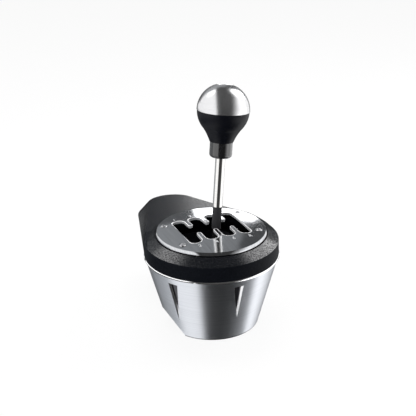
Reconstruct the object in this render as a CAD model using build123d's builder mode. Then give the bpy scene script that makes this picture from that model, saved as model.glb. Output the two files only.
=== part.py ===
from build123d import *
import os
from math import atan, cos, degrees, radians, sin, tan

# Desk-clamped gear shifter with an H gate for seven gears and reverse. Millimetres, +Z up.
# The driver sits on the -Y side. The origin is the centre of the flat underside.

os.makedirs("parts", exist_ok=True)

# Clearances and the one overrun that all cuts share
overrun = 30.0
running_gap = 0.05
seat_gap = 0.3

# Shroud: a tapered metal bucket, its two sides planed off near the floor
shroud_height = 82.0
shroud_floor_radius = 52.4
shroud_top_radius = 74.2
shroud_wall = 4.2
shroud_lip_height = 2.6
shroud_lip_bulge = 0.8
shroud_flange_reach = 12.7
shroud_flange_thickness = 3.0
side_cut_depth = 7.7
side_cut_lean_share = 0.6
recess_width = 12.2
recess_top_height = 72.5
recess_tip_heights = (21.0, 28.0)
recess_tip_shift = 3.3
recess_depth = 3.2
recess_floor_width = 5.6
recess_floor_drop = 2.0
recess_floor_tip_height = 41.5
recess_front_angle = -30.0
recess_half_spread_angle = 29.0
lug_inset = 7.9
lug_radius = 7.5
lug_height = 9.0

# Bottom cover: a floor with two leaning wings that close the planed sides
cover_thickness = 3.0
wing_reach = 25.0

# Machine screws shared by cover, chassis, ring and jaw
screw_radius = 2.0
screw_head_radius = 3.4
screw_head_height = 2.0
screw_length = 10.0
socket_width = 2.9
socket_depth = 1.2

# Chassis: a steel base with two cheeks that carry the selector
chassis_thickness = 3.0
chassis_half_width = 23.5
chassis_end_gap = 14.4
cheek_thickness = 4.0
cheek_half_width = 13.0
cheek_end_step = 9.0
rig_hole_radius = 3.0
rig_hole_spacing_x = 36.0
rig_hole_inset = 13.0
rig_boss_radius = 5.5
rig_boss_height = 5.0
chassis_screw_spacing_y = 18.0
chassis_screw_boss_radius = 4.0
chassis_screw_boss_height = 4.0

# Selector: yoke, trunnions and the cross pin that the lever turns on
lever_pivot_height = 28.0
yoke_half_width = 20.0
yoke_end_gap = 3.0
yoke_side_wall = 5.0
yoke_end_wall = 6.0
yoke_height = 14.0
trunnion_radius = 4.0
trunnion_head_radius = 6.0
trunnion_head_height = 2.0
bush_wall = 2.0
bush_flange_radius = 8.5
pin_radius = 4.0
pin_head_radius = 6.5
pin_head_height = 4.0
nut_height = 5.0
nut_radius = 7.0

# Gate plate: a domed steel disc with the H slots
plate_groove = 1.2
plate_stand = 4.2
plate_crown_rise = 4.4
plate_edge_round = 1.3
plate_rim_drop = 5.5
plate_thickness = 3.0
plate_rim_width = 3.5
column_edge_inset = 6.545
column_count = 4
tongue_width = 4.8
channel_half_depth = 9.77
gate_side_margin = 25.1
gate_end_margin = 30.6
slot_corner_flat = 0.785
tongue_tip_radius = 2.2
slot_edge_chamfer = 0.7
gate_screw_inset = 8.52
gate_screw_angle = 30.964
gate_screw_length = 14.0
gate_counterbore_radius = 4.2
gate_counterbore_depth = 1.4

# Top ring: bevel, upright band and the tail that reaches over the desk
ring_overhang = 0.2
ring_bevel_width = 11.8
ring_bevel_rise = 6.5
ring_band_draw = 0.4
ring_band_height = 16.4
ring_wall = 3.0
ring_ledge_width = 15.2
gate_boss_radius = 5.5
gate_boss_height = 9.0
ring_boss_inset = 9.3
ring_boss_radius = 4.7
tail_overreach = 34.0
tail_nose_low_radius = 42.0
tail_nose_high_radius = 23.0
tail_loft_height = 22.0
tail_flank_draw = 0.8
tail_crest_distance = 38.0
tail_crest_rise = 4.0
tail_slope_share = 0.07

# Upper jaw under the tail
upper_jaw_thickness = 5.0
upper_jaw_inset = 5.0
jaw_pad_thickness = 2.5
upper_pad_inset = 12.0
jaw_screw_near_width = 36.0
jaw_screw_near_setback = 4.0
jaw_screw_far_width = 16.0
jaw_screw_far_setback = 14.0
jaw_screw_boss_radius = 5.0

# Clamp: fixed arm, captive screw, two guide rods and a sliding lower jaw
clamp_setback = 9.8
arm_seat_height = 14.0
arm_thickness = 10.0
arm_half_width = 14.0
arm_start_gap = 5.0
arm_seat_length = 7.5
arm_nose_half_width = 22.0
arm_nose_length = 20.0
arm_nose_round = 8.0
arm_screw_spacing = 16.0
arm_screw_inset = 4.0
clamp_screw_radius = 5.0
clamp_collar_radius = 8.0
clamp_collar_height = 2.7
clamp_journal_radius = 4.0
guide_rod_radius = 4.0
guide_rod_spacing = 30.0
rod_seat_depth = 3.0
wheel_radius = 20.0
wheel_height = 10.0
wheel_floor_gap = 2.0
wheel_scallop_count = 8
wheel_scallop_radius = 6.0
wheel_scallop_reach = 23.0
jaw_rest_lift = 3.0
jaw_block_half_width = 22.0
jaw_block_length = 20.0
jaw_block_height = 14.0
jaw_tongue_height = 10.0
jaw_nose_radius = 16.0
jaw_reach = 28.0
lower_pad_gap = 2.0
lower_pad_inset = 3.0

# Connector bay in the shroud's rear
bay_half_width = 20.0
bay_low = 28.0
bay_height = 24.0
bay_wall = 3.2
bay_floor_inset = 2.4
bay_floor_thickness = 4.0
board_thickness = 1.6
port_board_half_width = 15.0
port_board_height = 18.0
port_boss_radius = 2.5
port_boss_spacing = 22.0
port_boss_length = 3.4
socket_half_width = 4.5
socket_height = 3.3
socket_shell = 0.35
socket_mouth_depth = 6.0

# Sensor board under the lever
sensor_board_width = 24.0
sensor_board_length = 36.0
sensor_standoff = 2.0
sensor_standoff_radius = 2.5
sensor_standoff_spacing_x = 18.0
sensor_standoff_spacing_y = 28.0
sensor_chip_width = 9.0
sensor_chip_height = 1.2

# Lever: hub and lower shaft, sleeve, upper rod, collar and knob
hub_radius = 9.0
hub_side_gap = 0.3
shaft_radius = 4.2
shaft_neck_radius = 3.4
shaft_neck_length = 17.0
tail_length = 10.0
magnet_radius = 3.0
magnet_height = 3.0
sleeve_radius = 5.1
sleeve_below_gate = 4.5
sleeve_above_gate = 20.5
gate_play = 0.6
rod_radius = 5.3
rod_top_clearance = 6.0
knob_above_gate = 127.6
knob_radius = 28.3
knob_cap_wall = 3.2
knob_joint_groove = 0.4
grip_shoulder_drop = 19.5
grip_waist_drop = 26.0
grip_waist_radius = 16.4
grip_neck_drop = 33.6
grip_neck_radius = 12.9
core_radius = 9.5
collar_radius = 12.2
collar_length = 17.4
collar_round = 3.6

# Places that follow from the sizes above
shroud_flange_inner_radius = shroud_top_radius - shroud_flange_reach
side_cut_half_width = shroud_floor_radius - side_cut_depth
lug_reach = shroud_floor_radius - lug_inset
bay_floor_distance = shroud_floor_radius - bay_floor_inset
chassis_half_length = shroud_floor_radius - chassis_end_gap
cheek_inner_reach = chassis_half_length - cheek_end_step
rig_hole_spacing_y = 2 * (chassis_half_length - rig_hole_inset)
yoke_half_length = cheek_inner_reach - yoke_end_gap
ring_band_radius = shroud_top_radius + ring_overhang
ring_bevel_outer_radius = ring_band_radius - ring_band_draw
ring_inner_radius = ring_bevel_outer_radius - ring_bevel_width
ring_ledge_inner_radius = ring_inner_radius - ring_ledge_width
ring_boss_reach = shroud_top_radius - ring_boss_inset
ring_bevel_outer_height = shroud_height + ring_band_height
ring_bevel_inner_height = ring_bevel_outer_height + ring_bevel_rise
plate_radius = ring_inner_radius - plate_groove
plate_face_radius = plate_radius - plate_edge_round
plate_rim_height = ring_bevel_inner_height + plate_stand
gate_screw_spacing_x = 2 * (plate_radius - gate_screw_inset) * cos(radians(gate_screw_angle))
gate_screw_spacing_y = 2 * (plate_radius - gate_screw_inset) * sin(radians(gate_screw_angle))
clamp_distance = shroud_top_radius + clamp_setback
tail_nose_distance = clamp_distance + tail_overreach
tail_high_radius = ring_band_radius - tail_flank_draw
tail_crest_height = ring_bevel_outer_height + tail_crest_rise
jaw_screw_near = (jaw_screw_near_width, clamp_distance + jaw_screw_near_setback)
jaw_screw_far = (jaw_screw_far_width, tail_nose_distance + jaw_screw_far_setback)
arm_start = cheek_inner_reach + cheek_thickness + arm_start_gap
arm_seat_end = arm_start + arm_seat_length
arm_screw_distance = arm_start + arm_screw_inset
jaw_nose_distance = clamp_distance + jaw_reach
lower_pad_start = clamp_distance + jaw_block_length / 2 + lower_pad_gap
jaw_rest_height = arm_seat_height + arm_thickness + seat_gap + clamp_collar_height + jaw_rest_lift
plate_crown_height = plate_rim_height + plate_crown_rise
plate_foot_height = plate_rim_height - plate_rim_drop
gate_height = plate_crown_height - plate_thickness / 2
lever_reach = gate_height - lever_pivot_height
sleeve_bottom = lever_reach - sleeve_below_gate
sleeve_top = lever_reach + sleeve_above_gate
knob_distance = lever_reach + knob_above_gate
gate_half_width = plate_radius - gate_side_margin
gate_half_length = plate_radius - gate_end_margin
column_pitch = 2 * (gate_half_width - column_edge_inset) / (column_count - 1)
slot_width = column_pitch - tongue_width
slot_corner_radius = slot_width / 2 - slot_corner_flat
rest_right = tongue_width / 2 + sleeve_radius + gate_play
rest_forward = channel_half_depth - sleeve_radius - gate_play
rest_tilt_right = degrees(atan(rest_right / lever_reach))
rest_tilt_forward = degrees(atan(rest_forward * cos(radians(rest_tilt_right)) / lever_reach))
chassis_top = cover_thickness + chassis_thickness
shroud_draft_share = (shroud_top_radius - shroud_floor_radius) / shroud_height


def shroud_radius(height):
    return shroud_floor_radius + height * shroud_draft_share


def tail_top(distance):
    return tail_crest_height - (distance - tail_crest_distance) * tail_slope_share


# The yoke leans to the right column of the gate; the lever leans a little forward within it
yoke_plane = Plane(
    origin=(0, 0, lever_pivot_height),
    x_dir=(cos(radians(rest_tilt_right)), 0, -sin(radians(rest_tilt_right))),
    z_dir=(sin(radians(rest_tilt_right)), 0, cos(radians(rest_tilt_right))),
)
lever_plane = Plane(
    origin=yoke_plane.origin,
    x_dir=yoke_plane.x_dir,
    z_dir=yoke_plane.z_dir * cos(radians(rest_tilt_forward))
    + Vector(0, sin(radians(rest_tilt_forward)), 0),
)

print("rest tilt right %.4f forward %.4f degrees" % (rest_tilt_right, rest_tilt_forward))
print("lever direction", tuple(round(value, 5) for value in lever_plane.z_dir))

# Shroud
with BuildPart() as shroud:
    with BuildSketch(Plane.XZ) as shroud_profile:
        with BuildLine():
            lip_foot = shroud_height - shroud_lip_height
            Polyline(
                (shroud_floor_radius, 0),
                (shroud_radius(lip_foot), lip_foot),
                (shroud_top_radius + shroud_lip_bulge, lip_foot + shroud_lip_bulge),
                (shroud_top_radius + shroud_lip_bulge, shroud_height - shroud_lip_bulge),
                (shroud_top_radius, shroud_height),
                (shroud_flange_inner_radius, shroud_height),
                (shroud_flange_inner_radius, shroud_height - shroud_flange_thickness),
                (
                    shroud_radius(shroud_height - shroud_flange_thickness) - shroud_wall,
                    shroud_height - shroud_flange_thickness,
                ),
                (shroud_floor_radius - shroud_wall, 0),
                close=True,
            )
        make_face()
    revolve(axis=Axis.Z)
    # Four lugs inside the floor edge take the cover's screws
    with BuildSketch(Plane.XY.offset(cover_thickness)):
        with PolarLocations(lug_reach, 4, start_angle=45):
            Circle(lug_radius)
    extrude(amount=lug_height)
    with BuildSketch(Plane.XY.offset(cover_thickness)):
        with PolarLocations(lug_reach, 4, start_angle=45):
            Circle(screw_radius + running_gap)
    extrude(amount=lug_height, mode=Mode.SUBTRACT)
    # Holes in the top flange for the ring's screws
    with BuildSketch(Plane.XY.offset(shroud_height)):
        with PolarLocations(ring_boss_reach, 4, start_angle=45):
            Circle(screw_radius + running_gap)
    extrude(amount=-shroud_flange_thickness - screw_head_height, mode=Mode.SUBTRACT)
    # Both sides are planed off near the floor
    with BuildSketch(Plane.XZ) as side_cut:
        with BuildLine():
            Polyline(
                (side_cut_half_width, 0),
                (side_cut_half_width + overrun * side_cut_lean_share, overrun),
                (side_cut_half_width + overrun, overrun),
                (side_cut_half_width + overrun, 0),
                close=True,
            )
        make_face()
        mirror(about=Plane.YZ)
    extrude(amount=shroud_floor_radius + overrun, both=True, mode=Mode.SUBTRACT)
    # Two tapering recesses frame the front
    for side, tip_height in zip((-1, 1), recess_tip_heights):
        turn = recess_front_angle + side * recess_half_spread_angle
        out = Vector(sin(radians(turn)), -cos(radians(turn)), 0)
        across = Vector(cos(radians(turn)), sin(radians(turn)), 0)
        draft = atan(shroud_draft_share)
        face_plane = Plane(
            origin=out * shroud_radius(recess_top_height) + Vector(0, 0, recess_top_height),
            x_dir=across,
            z_dir=out * cos(draft) - Vector(0, 0, sin(draft)),
        )
        with BuildSketch(face_plane) as recess_mouth:
            with BuildLine():
                Polyline(
                    (-recess_width / 2, 0),
                    (recess_width / 2, 0),
                    (side * recess_tip_shift, (tip_height - recess_top_height) / cos(draft)),
                    close=True,
                )
            make_face()
        with BuildSketch(face_plane.offset(-recess_depth)) as recess_floor:
            with BuildLine():
                Polyline(
                    (-recess_floor_width / 2, -recess_floor_drop),
                    (recess_floor_width / 2, -recess_floor_drop),
                    (
                        side * recess_tip_shift / 2,
                        (recess_floor_tip_height - recess_top_height) / cos(draft),
                    ),
                    close=True,
                )
            make_face()
        loft(ruled=True, mode=Mode.SUBTRACT)
    # Rear windows for the clamp arm and the connector bay
    with BuildSketch(Plane.XZ.offset(-arm_start)):
        with Locations((0, arm_seat_height + arm_thickness / 2)):
            Rectangle(2 * arm_half_width + 2 * seat_gap, arm_thickness + 2 * seat_gap)
        with Locations((0, bay_low + bay_height / 2)):
            Rectangle(2 * bay_half_width, bay_height)
    extrude(amount=-shroud_top_radius, mode=Mode.SUBTRACT)
shroud.part.label = "shroud"
export_step(shroud.part, "parts/shroud.step")

# Bottom cover
with BuildPart() as bottom_cover:
    with BuildSketch(Plane.XZ):
        with BuildLine():
            cover_radius = shroud_floor_radius - shroud_wall - seat_gap
            Polyline(
                (0, 0),
                (cover_radius, 0),
                (cover_radius + wing_reach * shroud_draft_share, wing_reach),
                (0, wing_reach),
                close=True,
            )
        make_face()
    revolve(axis=Axis.Z)
    # Everything above the floor and between the wings is open
    with BuildSketch(Plane.XZ):
        with BuildLine():
            wing_foot = side_cut_half_width - cover_thickness + cover_thickness * side_cut_lean_share
            wing_top = side_cut_half_width - cover_thickness + wing_reach * side_cut_lean_share
            Polyline(
                (-wing_foot, cover_thickness),
                (wing_foot, cover_thickness),
                (wing_top, wing_reach),
                (-wing_top, wing_reach),
                close=True,
            )
        make_face()
    extrude(amount=shroud_floor_radius + overrun, both=True, mode=Mode.SUBTRACT)
    with BuildSketch(Plane.XZ):
        add(side_cut.sketch_local)
    extrude(amount=shroud_floor_radius + overrun, both=True, mode=Mode.SUBTRACT)
    with Locations(Plane.XY):
        with PolarLocations(lug_reach, 4, start_angle=45):
            Cylinder(
                screw_radius + running_gap,
                cover_thickness + overrun,
                mode=Mode.SUBTRACT,
            )
            Cylinder(
                screw_head_radius + running_gap,
                2 * screw_head_height,
                mode=Mode.SUBTRACT,
            )
        with GridLocations(rig_hole_spacing_x, chassis_screw_spacing_y, 2, 2):
            Cylinder(screw_radius + running_gap, cover_thickness + overrun, mode=Mode.SUBTRACT)
            Cylinder(screw_head_radius + running_gap, 2 * screw_head_height, mode=Mode.SUBTRACT)
        with GridLocations(rig_hole_spacing_x, rig_hole_spacing_y, 2, 2):
            Cylinder(rig_hole_radius, cover_thickness + overrun, mode=Mode.SUBTRACT)
bottom_cover.part.label = "bottom_cover"
export_step(bottom_cover.part, "parts/bottom_cover.step")

# Cover screws: four into the shroud's lugs, four into the chassis
with BuildPart() as cover_screws:
    with Locations(Plane.XY):
        with PolarLocations(lug_reach, 4, start_angle=45):
            Cylinder(
                screw_head_radius,
                screw_head_height,
                align=(Align.CENTER, Align.CENTER, Align.MIN),
            )
            Cylinder(
                screw_radius, screw_length, align=(Align.CENTER, Align.CENTER, Align.MIN)
            )
        with GridLocations(rig_hole_spacing_x, chassis_screw_spacing_y, 2, 2):
            Cylinder(
                screw_head_radius,
                screw_head_height,
                align=(Align.CENTER, Align.CENTER, Align.MIN),
            )
            Cylinder(
                screw_radius, screw_length, align=(Align.CENTER, Align.CENTER, Align.MIN)
            )
    with BuildSketch(Plane.XY):
        with PolarLocations(lug_reach, 4, start_angle=45):
            RegularPolygon(socket_width / 2, 6)
        with GridLocations(rig_hole_spacing_x, chassis_screw_spacing_y, 2, 2):
            RegularPolygon(socket_width / 2, 6)
    extrude(amount=socket_depth, mode=Mode.SUBTRACT)
cover_screws.part.label = "cover_screws"
export_step(cover_screws.part, "parts/cover_screws.step")

# Chassis
with BuildPart() as chassis:
    with BuildSketch(Plane.XY.offset(cover_thickness)):
        Rectangle(2 * chassis_half_width, 2 * chassis_half_length)
        fillet(vertices(), radius=arm_nose_round)
        with Locations((0, arm_start)):
            Rectangle(2 * arm_half_width, 2 * (arm_seat_end - arm_start))
    extrude(amount=chassis_thickness)
    # Cheeks with round heads about the selector's axis
    with BuildSketch(Plane.XZ.offset(-cheek_inner_reach)) as cheek_profile:
        with Locations((0, (chassis_top + lever_pivot_height) / 2)):
            Rectangle(2 * cheek_half_width, lever_pivot_height - chassis_top)
        with Locations((0, lever_pivot_height)):
            Circle(cheek_half_width)
            Circle(trunnion_radius + bush_wall, mode=Mode.SUBTRACT)
    extrude(amount=-cheek_thickness)
    mirror(about=Plane.XZ)
    # Block that the clamp arm is bolted down on
    with BuildSketch(Plane.XY.offset(chassis_top)):
        with Locations((0, (cheek_inner_reach + cheek_thickness + arm_seat_end) / 2)):
            Rectangle(2 * arm_half_width, arm_seat_end - cheek_inner_reach - cheek_thickness)
    extrude(amount=arm_seat_height - chassis_top)
    with BuildSketch(Plane.XY.offset(chassis_top)):
        with GridLocations(rig_hole_spacing_x, rig_hole_spacing_y, 2, 2):
            Circle(rig_boss_radius)
    extrude(amount=rig_boss_height)
    with BuildSketch(Plane.XY.offset(chassis_top)):
        with GridLocations(rig_hole_spacing_x, chassis_screw_spacing_y, 2, 2):
            Circle(chassis_screw_boss_radius)
    extrude(amount=chassis_screw_boss_height)
    with BuildSketch(Plane.XY.offset(chassis_top)):
        with GridLocations(sensor_standoff_spacing_x, sensor_standoff_spacing_y, 2, 2):
            Circle(sensor_standoff_radius)
    extrude(amount=sensor_standoff)
    with BuildSketch(Plane.XY):
        with GridLocations(rig_hole_spacing_x, rig_hole_spacing_y, 2, 2):
            Circle(rig_hole_radius)
        with GridLocations(rig_hole_spacing_x, chassis_screw_spacing_y, 2, 2):
            Circle(screw_radius + running_gap)
    extrude(amount=arm_seat_height, mode=Mode.SUBTRACT)
    with BuildSketch(Plane.XY.offset(arm_seat_height)):
        with Locations((0, arm_screw_distance)):
            with GridLocations(arm_screw_spacing, 0, 2, 1):
                Circle(screw_radius + running_gap)
    extrude(amount=-arm_seat_height + chassis_top, mode=Mode.SUBTRACT)
chassis.part.label = "chassis"
export_step(chassis.part, "parts/chassis.step")

# Flanged bushes in the cheeks
with BuildPart() as trunnion_bushes:
    with BuildSketch(Plane.XZ.offset(-yoke_half_length - seat_gap)):
        with Locations((0, lever_pivot_height)):
            Circle(bush_flange_radius)
    extrude(amount=-(cheek_inner_reach - yoke_half_length - seat_gap))
    with BuildSketch(Plane.XZ.offset(-cheek_inner_reach)):
        with Locations((0, lever_pivot_height)):
            Circle(trunnion_radius + bush_wall)
    extrude(amount=-cheek_thickness)
    with BuildSketch(Plane.XZ.offset(-yoke_half_length)):
        with Locations((0, lever_pivot_height)):
            Circle(trunnion_radius + running_gap)
    extrude(amount=-cheek_inner_reach, mode=Mode.SUBTRACT)
    mirror(about=Plane.XZ)
trunnion_bushes.part.label = "trunnion_bushes"
export_step(trunnion_bushes.part, "parts/trunnion_bushes.step")

# Selector yoke: an open frame that tips sideways on its trunnions
with BuildPart() as selector_yoke:
    with BuildSketch(yoke_plane.offset(-yoke_height / 2)):
        Rectangle(2 * yoke_half_width, 2 * yoke_half_length)
        fillet(vertices(), radius=yoke_side_wall)
        Rectangle(
            2 * (yoke_half_width - yoke_side_wall),
            2 * (yoke_half_length - yoke_end_wall),
            mode=Mode.SUBTRACT,
        )
    extrude(amount=yoke_height)
    with Locations(yoke_plane):
        Cylinder(trunnion_radius, 2 * yoke_half_length, rotation=(90, 0, 0), mode=Mode.SUBTRACT)
        Cylinder(pin_radius, 2 * yoke_half_width, rotation=(0, 90, 0), mode=Mode.SUBTRACT)
    chamfer(selector_yoke.faces().sort_by(Axis.Z)[-1].outer_wire().edges(), yoke_side_wall / 5)
selector_yoke.part.label = "selector_yoke"
export_step(selector_yoke.part, "parts/selector_yoke.step")

# Trunnion pins, pressed into the yoke's ends through the bushes
with BuildPart() as trunnion_pins:
    pin_end = cheek_inner_reach + cheek_thickness + seat_gap
    with BuildSketch(Plane.XZ.offset(-yoke_half_length + yoke_end_wall)):
        with Locations((0, lever_pivot_height)):
            Circle(trunnion_radius)
    extrude(amount=-(pin_end - yoke_half_length + yoke_end_wall))
    with BuildSketch(Plane.XZ.offset(-pin_end)):
        with Locations((0, lever_pivot_height)):
            Circle(trunnion_head_radius)
    extrude(amount=-trunnion_head_height)
    mirror(about=Plane.XZ)
trunnion_pins.part.label = "trunnion_pins"
export_step(trunnion_pins.part, "parts/trunnion_pins.step")

# Cross pin with a hexagon head, and its lock nut that sets the lever's drag
with BuildPart() as pivot_pin:
    with Locations(yoke_plane):
        Cylinder(
            pin_radius,
            2 * yoke_half_width + nut_height + seat_gap,
            rotation=(0, 90, 0),
            align=(Align.CENTER, Align.CENTER, Align.CENTER),
        )
    cross_plane = Plane(origin=yoke_plane.origin, x_dir=yoke_plane.y_dir, z_dir=yoke_plane.x_dir)
    with BuildSketch(cross_plane.offset(-yoke_half_width)):
        RegularPolygon(pin_head_radius, 6)
    extrude(amount=-pin_head_height)
pivot_pin.part.label = "pivot_pin"
export_step(pivot_pin.part, "parts/pivot_pin.step")

with BuildPart() as pivot_nut:
    with BuildSketch(cross_plane.offset(yoke_half_width)):
        RegularPolygon(nut_radius, 6)
        Circle(pin_radius + running_gap, mode=Mode.SUBTRACT)
    extrude(amount=nut_height)
pivot_nut.part.label = "pivot_nut"
export_step(pivot_nut.part, "parts/pivot_nut.step")

# Sensor board with its chip, on the chassis standoffs
with BuildPart() as sensor_board:
    with BuildSketch(Plane.XY.offset(chassis_top + sensor_standoff)):
        RectangleRounded(sensor_board_width, sensor_board_length, sensor_standoff_radius)
    extrude(amount=board_thickness)
    with BuildSketch(Plane.XY.offset(chassis_top + sensor_standoff + board_thickness)):
        Rectangle(sensor_chip_width, sensor_chip_width)
    extrude(amount=sensor_chip_height)
sensor_board.part.label = "sensor_board"
export_step(sensor_board.part, "parts/sensor_board.step")

# Lower lever shaft: hub on the cross pin, shaft, and the neck that enters the upper rod
with BuildPart() as lever_shaft:
    hub_half_width = yoke_half_width - yoke_side_wall - hub_side_gap
    with Locations(lever_plane):
        Cylinder(hub_radius, 2 * hub_half_width, rotation=(0, 90, 0))
    with BuildSketch(lever_plane.offset(-tail_length)):
        Circle(shaft_radius)
    extrude(amount=tail_length + sleeve_bottom)
    with BuildSketch(lever_plane.offset(sleeve_bottom)):
        Circle(shaft_neck_radius)
    extrude(amount=sleeve_top - sleeve_bottom + shaft_neck_length)
    with Locations(lever_plane):
        Cylinder(
            pin_radius + running_gap,
            2 * yoke_half_width,
            rotation=(0, 90, 0),
            mode=Mode.SUBTRACT,
        )
lever_shaft.part.label = "lever_shaft"
export_step(lever_shaft.part, "parts/lever_shaft.step")

with BuildPart() as lever_magnet:
    with BuildSketch(lever_plane.offset(-tail_length)):
        Circle(magnet_radius)
    extrude(amount=-magnet_height)
lever_magnet.part.label = "lever_magnet"
export_step(lever_magnet.part, "parts/lever_magnet.step")

# Soft black sleeve where the lever meets the gate
with BuildPart() as gate_sleeve:
    with BuildSketch(lever_plane.offset(sleeve_bottom)):
        Circle(sleeve_radius)
        Circle(shaft_neck_radius + running_gap, mode=Mode.SUBTRACT)
    extrude(amount=sleeve_top - sleeve_bottom)
gate_sleeve.part.label = "gate_sleeve"
export_step(gate_sleeve.part, "parts/gate_sleeve.step")

# Polished upper rod
with BuildPart() as lever_rod:
    with BuildSketch(lever_plane.offset(sleeve_top)):
        Circle(rod_radius)
    extrude(amount=knob_distance - sleeve_top)
    chamfer(lever_rod.edges().filter_by(GeomType.CIRCLE), rod_radius / 10)
    with BuildSketch(lever_plane.offset(sleeve_top)):
        Circle(shaft_neck_radius + running_gap)
    extrude(amount=shaft_neck_length + seat_gap, mode=Mode.SUBTRACT)
lever_rod.part.label = "lever_rod"
export_step(lever_rod.part, "parts/lever_rod.step")

# Knob: core, rubber grip, metal cap and the gloss collar below
knob_plane = lever_plane.offset(knob_distance)
knob_section = Plane(origin=knob_plane.origin, x_dir=knob_plane.x_dir, z_dir=-knob_plane.y_dir)
knob_axis = Axis(knob_plane.origin, knob_plane.z_dir)
grip_shoulder_radius = (knob_radius**2 - grip_shoulder_drop**2) ** 0.5

with BuildPart() as knob_core:
    with BuildSketch(knob_section):
        with BuildLine():
            core_ball = knob_radius - knob_cap_wall
            Polyline(
                (0, core_ball - running_gap),
                (0, rod_top_clearance),
                (rod_radius + running_gap, rod_top_clearance),
                (rod_radius + running_gap, -grip_neck_drop),
                (core_radius, -grip_neck_drop),
                (core_radius, -grip_shoulder_drop),
                (core_ball - 2 * running_gap, 0),
            )
            RadiusArc(
                (0, core_ball - running_gap),
                (core_ball - 2 * running_gap, 0),
                core_ball - running_gap,
            )
        make_face()
    revolve(axis=knob_axis)
knob_core.part.label = "knob_core"
export_step(knob_core.part, "parts/knob_core.step")

with BuildPart() as knob_cap:
    with BuildSketch(knob_section):
        with BuildLine():
            RadiusArc((0, knob_radius), (knob_radius, 0), knob_radius)
            Line((knob_radius, 0), (core_ball, 0))
            RadiusArc((core_ball, 0), (0, core_ball), -core_ball)
            Line((0, core_ball), (0, knob_radius))
        make_face()
    revolve(axis=knob_axis)
knob_cap.part.label = "knob_cap"
export_step(knob_cap.part, "parts/knob_cap.step")

with BuildPart() as knob_grip:
    with BuildSketch(knob_section):
        with BuildLine():
            RadiusArc(
                (knob_radius - knob_joint_groove, 0),
                (grip_shoulder_radius, -grip_shoulder_drop),
                knob_radius,
            )
            ThreePointArc(
                (grip_shoulder_radius, -grip_shoulder_drop),
                (grip_waist_radius, -grip_waist_drop),
                (grip_neck_radius, -grip_neck_drop),
            )
            Polyline(
                (grip_neck_radius, -grip_neck_drop),
                (core_radius + running_gap, -grip_neck_drop),
                (core_radius + running_gap, -grip_shoulder_drop),
                (core_ball, 0),
                (knob_radius - knob_joint_groove, 0),
            )
        make_face()
    revolve(axis=knob_axis)
knob_grip.part.label = "knob_grip"
export_step(knob_grip.part, "parts/knob_grip.step")

with BuildPart() as knob_collar:
    with BuildSketch(lever_plane.offset(knob_distance - grip_neck_drop)):
        Circle(collar_radius)
    extrude(amount=-collar_length)
    fillet(knob_collar.edges().sort_by(knob_axis)[0], radius=collar_round)
    with BuildSketch(lever_plane.offset(knob_distance - grip_neck_drop)):
        Circle(rod_radius + running_gap)
    extrude(amount=-collar_length, mode=Mode.SUBTRACT)
knob_collar.part.label = "knob_collar"
export_step(knob_collar.part, "parts/knob_collar.step")

# Gate plate
with BuildPart() as gate_plate:
    with BuildSketch(Plane.XZ):
        with BuildLine():
            under_radius = plate_radius - plate_rim_width
            under_rise = plate_crown_rise * (1 - (under_radius / plate_face_radius) ** 2)
            crown_ball = (plate_face_radius**2 + plate_crown_rise**2) / (2 * plate_crown_rise)
            RadiusArc((0, plate_crown_height), (plate_face_radius, plate_rim_height), crown_ball)
            ThreePointArc(
                (plate_face_radius, plate_rim_height),
                (
                    plate_radius - (plate_radius - plate_face_radius) / 4,
                    plate_rim_height - plate_rim_drop / 4,
                ),
                (plate_radius, plate_rim_height - plate_rim_drop * 2 / 3),
            )
            Polyline(
                (plate_radius, plate_rim_height - plate_rim_drop * 2 / 3),
                (plate_radius, plate_foot_height),
                (under_radius, plate_foot_height),
                (under_radius, plate_rim_height + under_rise - plate_thickness),
            )
            RadiusArc(
                (0, plate_crown_height - plate_thickness),
                (under_radius, plate_rim_height + under_rise - plate_thickness),
                crown_ball - plate_thickness,
            )
            Line((0, plate_crown_height), (0, plate_crown_height - plate_thickness))
        make_face()
    revolve(axis=Axis.Z)
    # H slots: a cross channel and four columns
    with BuildSketch(Plane.XY.offset(plate_crown_height + overrun)) as gate_slots:
        with GridLocations(column_pitch, 0, column_count, 1):
            RectangleRounded(slot_width, 2 * gate_half_length, slot_corner_radius)
        Rectangle(2 * gate_half_width, 2 * channel_half_depth)
        Rectangle(2 * gate_half_width, 2 * gate_half_length, mode=Mode.INTERSECT)
        tips = gate_slots.vertices().filter_by_position(
            Axis.Y, -channel_half_depth - seat_gap, channel_half_depth + seat_gap
        )
        tips = tips.filter_by_position(Axis.X, -gate_half_width + seat_gap, gate_half_width - seat_gap)
        fillet(tips, radius=tongue_tip_radius)
    extrude(amount=-2 * overrun, mode=Mode.SUBTRACT)
    rims = gate_plate.edges(Select.LAST).filter_by(Axis.Z, reverse=True)
    slot_reach = (gate_half_width**2 + gate_half_length**2) ** 0.5
    slot_edge_low = plate_crown_height - plate_crown_rise * (slot_reach / plate_face_radius) ** 2
    chamfer(
        rims.filter_by_position(Axis.Z, slot_edge_low, plate_crown_height),
        length=slot_edge_chamfer,
    )
    # Screw holes with shallow counterbores in the dome
    screw_reach = (gate_screw_spacing_x**2 + gate_screw_spacing_y**2) ** 0.5 / 2
    screw_face = plate_crown_height - plate_crown_rise * (screw_reach / plate_face_radius) ** 2
    with BuildSketch(Plane.XY.offset(screw_face - gate_counterbore_depth)):
        with GridLocations(gate_screw_spacing_x, gate_screw_spacing_y, 2, 2):
            Circle(gate_counterbore_radius)
    extrude(amount=overrun, mode=Mode.SUBTRACT)
    with BuildSketch(Plane.XY.offset(screw_face)):
        with GridLocations(gate_screw_spacing_x, gate_screw_spacing_y, 2, 2):
            Circle(screw_radius + running_gap)
    extrude(amount=-overrun, mode=Mode.SUBTRACT)
gate_plate.part.label = "gate_plate"
export_step(gate_plate.part, "parts/gate_plate.step")

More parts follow.
